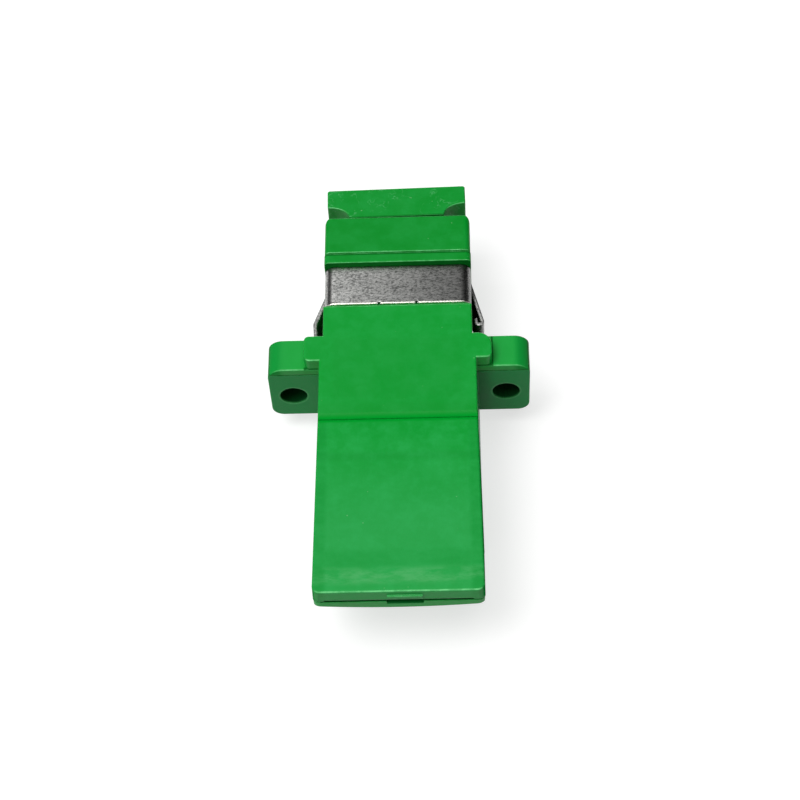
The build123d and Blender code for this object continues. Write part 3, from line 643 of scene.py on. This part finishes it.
class PlasticSettings(bpy.types.PropertyGroup):
    """Look of the moulded pieces."""
    green: bpy.props.FloatVectorProperty(
        name="Green", description="Main colour of the moulded plastic", subtype="COLOR",
        size=3, min=0, max=1, default=(0.0005, 0.287, 0.026))
    pale: bpy.props.FloatVectorProperty(
        name="Pale patches", description="Colour of the slightly paler patches", subtype="COLOR",
        size=3, min=0, max=1, default=(0.008, 0.335, 0.05))
    # Paler edges, from wear and from painted highlight, take this green and this factor.
    edge_green: bpy.props.FloatVectorProperty(
        name="Worn and highlighted edges", description="Colour of the worn and highlighted edges", subtype="COLOR",
        size=3, min=0, max=1, default=(0.17, 0.68, 0.25))
    edge_wear_and_highlight: bpy.props.FloatProperty(
        name="Edge wear and highlight", description="How far worn and highlighted edges turn paler", subtype="FACTOR",
        min=0, max=1, default=1.0)
    edge_radius: bpy.props.FloatProperty(
        name="Edge radius", description="Radius that softens the look of sharp edges", unit="LENGTH",
        min=0, default=0.00012, precision=5)
    roughness: bpy.props.FloatProperty(
        name="Roughness", description="Roughness of the moulded plastic", subtype="FACTOR",
        min=0, max=1, default=0.33)


class StageSettings(bpy.types.PropertyGroup):
    """Floor, camera and lights."""
    distance: bpy.props.FloatProperty(
        name="Camera distance", description="From the camera to the point it looks at", unit="LENGTH",
        default=0.185)
    azimuth: bpy.props.FloatProperty(
        name="Camera azimuth", description="Turn of the camera about the object", subtype="ANGLE",
        default=math.radians(3.117))
    elevation: bpy.props.FloatProperty(
        name="Camera elevation", description="Height of the camera above the horizon", subtype="ANGLE",
        default=math.radians(56.679))
    roll: bpy.props.FloatProperty(
        name="Camera roll", description="Turn of the camera about its own line of sight", subtype="ANGLE",
        default=math.radians(-3.919))
    lens: bpy.props.FloatProperty(
        name="Lens", description="Focal length on a 36 mm sensor", unit="CAMERA", default=97.76)
    target: bpy.props.FloatVectorProperty(
        name="Camera target", description="Point in the middle of the picture", subtype="TRANSLATION",
        size=3, default=(-0.000026, -0.003, -0.001036))
    key_strength: bpy.props.FloatProperty(
        name="Key strength", description="Strength of the large soft key light", min=0, default=1.5)
    key_angle: bpy.props.FloatProperty(
        name="Key size", description="How wide the key light looks from the object", subtype="ANGLE",
        default=math.radians(30))
    overhead: bpy.props.FloatProperty(
        name="Overhead", description="Brightness of the studio's ceiling", min=0, default=1.7)
    room: bpy.props.FloatProperty(
        name="Room", description="Brightness of the studio between the ceiling and the horizon", min=0,
        default=0.13)


# One operator for each group of pieces

class ADAPTER_OT_plastic(bpy.types.Operator):
    """Give the housing, lid, hood, shutter, cap and inserts their moulded plastic"""
    bl_idname = "adapter.plastic"
    bl_label = "Moulded Plastic"

    def execute(self, context):
        settings = context.scene.adapter_plastic
        groups = make_moulded_group(), make_edge_group()
        paint(plastic("housing_green", settings, DEEP_HOUSING, groups, housing_marks, shine=0.14), "housing")
        paint(plastic("cover_green", settings, {"Patches": 0.4}, groups, lid_marks), "cover")
        paint(plastic("hood_green", settings, {"Patches": 0.55, "Blotches": 0.45}, groups, hood_marks,
                      shine=0.1, side_shine=0.0), "front_hood")
        paint(plastic("door_green", settings, {"Patches": 0.6}, groups, door_marks, top_edges=0.0),
              "shutter_door")
        paint(plastic("cap_green", settings, {"Patches": 0.4, **DEEP_CAP}, groups, cap_marks), "dust_cap")
        paint(plastic("insert_plastic", settings, {"Patches": 0.2}, groups),
              "latch_insert_front", "latch_insert_rear")
        return {"FINISHED"}


class ADAPTER_OT_metal(bpy.types.Operator):
    """Give the clip, the pins, the shutter's spring and the sleeve their finishes"""
    bl_idname = "adapter.metal"
    bl_label = "Clip, Pins and Sleeve"

    def execute(self, context):
        groups = make_speckle_group(), bpy.data.node_groups.get("Edge wear and highlight") or make_edge_group()
        paint(steel("clip_steel", CLIP_LOOK, groups, clip_marks), "panel_clip")
        paint(steel("pin_steel", WIRE_LOOK, groups), "hinge_pin_left", "hinge_pin_right")
        paint(steel("spring_steel", WIRE_LOOK, groups), "torsion_spring")
        paint(ceramic(), "split_sleeve")
        return {"FINISHED"}


# Stage

def white_floor():
    """Floor that the camera, gloss and glass see as white, with its shadow; it bounces less as grey."""
    material, tree, shader = new_material("stage_white")
    light = tree.nodes.new("ShaderNodeLightPath").outputs
    seen = largest(tree, light["Is Camera Ray"], light["Is Glossy Ray"], light["Is Transmission Ray"])
    bounce = (FLOOR_BOUNCE, FLOOR_BOUNCE, FLOOR_BOUNCE, 1)
    colour = blend_colour(tree, seen, bounce, (FLOOR_SEEN, FLOOR_SEEN, FLOOR_SEEN, 1))
    tree.links.new(colour, shader.inputs["Base Color"])
    lift = blend_colour(tree, seen, (0, 0, 0, 1), (1, 1, 1, 1))
    tree.links.new(lift, shader.inputs["Emission Color"])
    shader.inputs["Emission Strength"].default_value = FLOOR_LIFT
    shader.inputs["Roughness"].default_value = 0.9
    shader.inputs["Specular IOR Level"].default_value = 0.1
    return material


def plain_black():
    """Dull black cloth of the side flags."""
    material, tree, shader = new_material("stage_black")
    weave = noise(tree, own_place(tree), 500.0)
    cloth = blend_colour(tree, weave, (0.006, 0.006, 0.006, 1), (0.01, 0.01, 0.01, 1))
    tree.links.new(cloth, shader.inputs["Base Color"])
    shader.inputs["Roughness"].default_value = 1.0
    return material


def sheet_object(name, corner, along, up, material):
    """Flat sheet from one corner and its two sides, as a grid of four faces, linked to the scene."""
    s, t = np.meshgrid(np.linspace(0, 1, 3), np.linspace(0, 1, 3))
    points = np.array(corner) + s[..., None] * np.array(along) + t[..., None] * np.array(up)
    index = np.arange(9).reshape(3, 3)
    corners = index[:-1, :-1], index[:-1, 1:], index[1:, 1:], index[1:, :-1]
    faces = np.stack(corners, axis=-1).reshape(-1, 4)
    mesh = bpy.data.meshes.new(name)
    mesh.from_pydata(points.reshape(-1, 3).tolist(), [], faces.tolist())
    mesh.materials.append(material)
    obj = bpy.data.objects.new(name, mesh)
    bpy.context.scene.collection.objects.link(obj)
    return obj


def add_flags():
    """Black flags at both sides, seen only in reflections, for the dark corners of the steel."""
    black = plain_black()
    for name, x, reach, height in FLAGS:
        flag = sheet_object(f"side_flag_{name}", (x, FLAG_START, 0.0), (0, reach, 0), (0, 0, height), black)
        flag.visible_camera = False
        flag.visible_diffuse = False
        flag.visible_shadow = False


def studio_world(settings):
    """White horizon, dimmer room and bright soft ceiling, by the height of each direction.

    Brightness is the room's plus the ceiling's, which fades in near the zenith, or the white horizon's
    where that is larger; it fades out by a third of the way up. The room is brighter on the left.
    """
    world = bpy.data.worlds.new("studio")
    world.use_nodes = True
    tree = world.node_tree
    axes = split_axes(tree, tree.nodes.new("ShaderNodeTexCoord").outputs["Generated"])
    left, right = settings.room * ROOM_LEFT, settings.room * ROOM_RIGHT
    room = remap(tree, axes["X"], -0.16, 0.08, left, right, smooth=True)
    horizon = remap(tree, axes["Z"], 0.19, 0.3, 1.0, 0.0, smooth=True)
    ceiling = remap(tree, axes["Z"], 0.84, 0.97, 0.0, settings.overhead, smooth=True)
    level = largest(tree, horizon, calc(tree, "ADD", room, ceiling))
    tree.links.new(level, tree.nodes["Background"].inputs["Strength"])
    tree.nodes["Background"].inputs["Color"].default_value = (1, 1, 1, 1)
    return world


def add_key(settings):
    """Large soft key light, high on the camera's side and a little to the left."""
    data = bpy.data.lights.new("key", "SUN")
    data.energy = settings.key_strength
    data.angle = settings.key_angle
    key = bpy.data.objects.new("key", data)
    towards = Vector(KEY_DIRECTION)
    key.rotation_mode = "QUATERNION"
    key.rotation_quaternion = towards.to_track_quat("Z", "Y")
    key.location = towards
    bpy.context.scene.collection.objects.link(key)


def place_camera(scene, settings):
    """Camera at a distance from the target, turned by azimuth, elevation and roll."""
    az, el = settings.azimuth, settings.elevation
    back = Vector((math.sin(az) * math.cos(el), -math.cos(az) * math.cos(el), math.sin(el)))
    data = bpy.data.cameras.new("camera")
    data.sensor_width = 36
    data.lens = settings.lens
    data.clip_start = 0.01
    data.clip_end = 10
    camera = bpy.data.objects.new("camera", data)
    camera.rotation_mode = "QUATERNION"
    upright = (-back).to_track_quat("-Z", "Y")
    camera.location = Vector(settings.target) + back * settings.distance
    camera.rotation_quaternion = upright @ Matrix.Rotation(settings.roll, 3, "Z").to_quaternion()
    scene.collection.objects.link(camera)
    scene.camera = camera


class ADAPTER_OT_stage(bpy.types.Operator):
    """Add the floor, the flags, the key light, the world and the camera"""
    bl_idname = "adapter.stage"
    bl_label = "Stage"

    def execute(self, context):
        settings = context.scene.adapter_stage
        corner = (-FLOOR_HALF, -FLOOR_HALF, CAD_BOX[0][2])
        sheet_object("stage_floor", corner, (2 * FLOOR_HALF, 0, 0), (0, 2 * FLOOR_HALF, 0), white_floor())
        add_flags()
        add_key(settings)
        context.scene.world = studio_world(settings)
        place_camera(context.scene, settings)
        context.scene.view_settings.view_transform = "Standard"
        return {"FINISHED"}


class ADAPTER_PT_panel(bpy.types.Panel):
    """Lists the steps and their settings"""
    bl_idname = "ADAPTER_PT_panel"
    bl_label = "Fibre Adapter"
    bl_space_type = "VIEW_3D"
    bl_region_type = "UI"
    bl_category = "Adapter"

    def draw(self, context):
        column = self.layout.column()
        for operator in OPERATORS:
            column.operator(operator.bl_idname)
        for name in ("adapter_plastic", "adapter_stage"):
            settings = getattr(context.scene, name)
            for key in settings.__annotations__:
                column.prop(settings, key)


OPERATORS = (ADAPTER_OT_plastic, ADAPTER_OT_metal, ADAPTER_OT_stage)
CLASSES = (PlasticSettings, StageSettings, *OPERATORS, ADAPTER_PT_panel)


def register():
    """Add the classes and the settings that the scene holds."""
    for kind in CLASSES:
        bpy.utils.register_class(kind)
    bpy.types.Scene.adapter_plastic = bpy.props.PointerProperty(type=PlasticSettings)
    bpy.types.Scene.adapter_stage = bpy.props.PointerProperty(type=StageSettings)


def unregister():
    """Take away what register added."""
    del bpy.types.Scene.adapter_stage
    del bpy.types.Scene.adapter_plastic
    for kind in reversed(CLASSES):
        bpy.utils.unregister_class(kind)


def main():
    """Run every step in order."""
    register()
    bpy.ops.adapter.plastic()
    bpy.ops.adapter.metal()
    bpy.ops.adapter.stage()


if __name__ == "__main__":
    main()
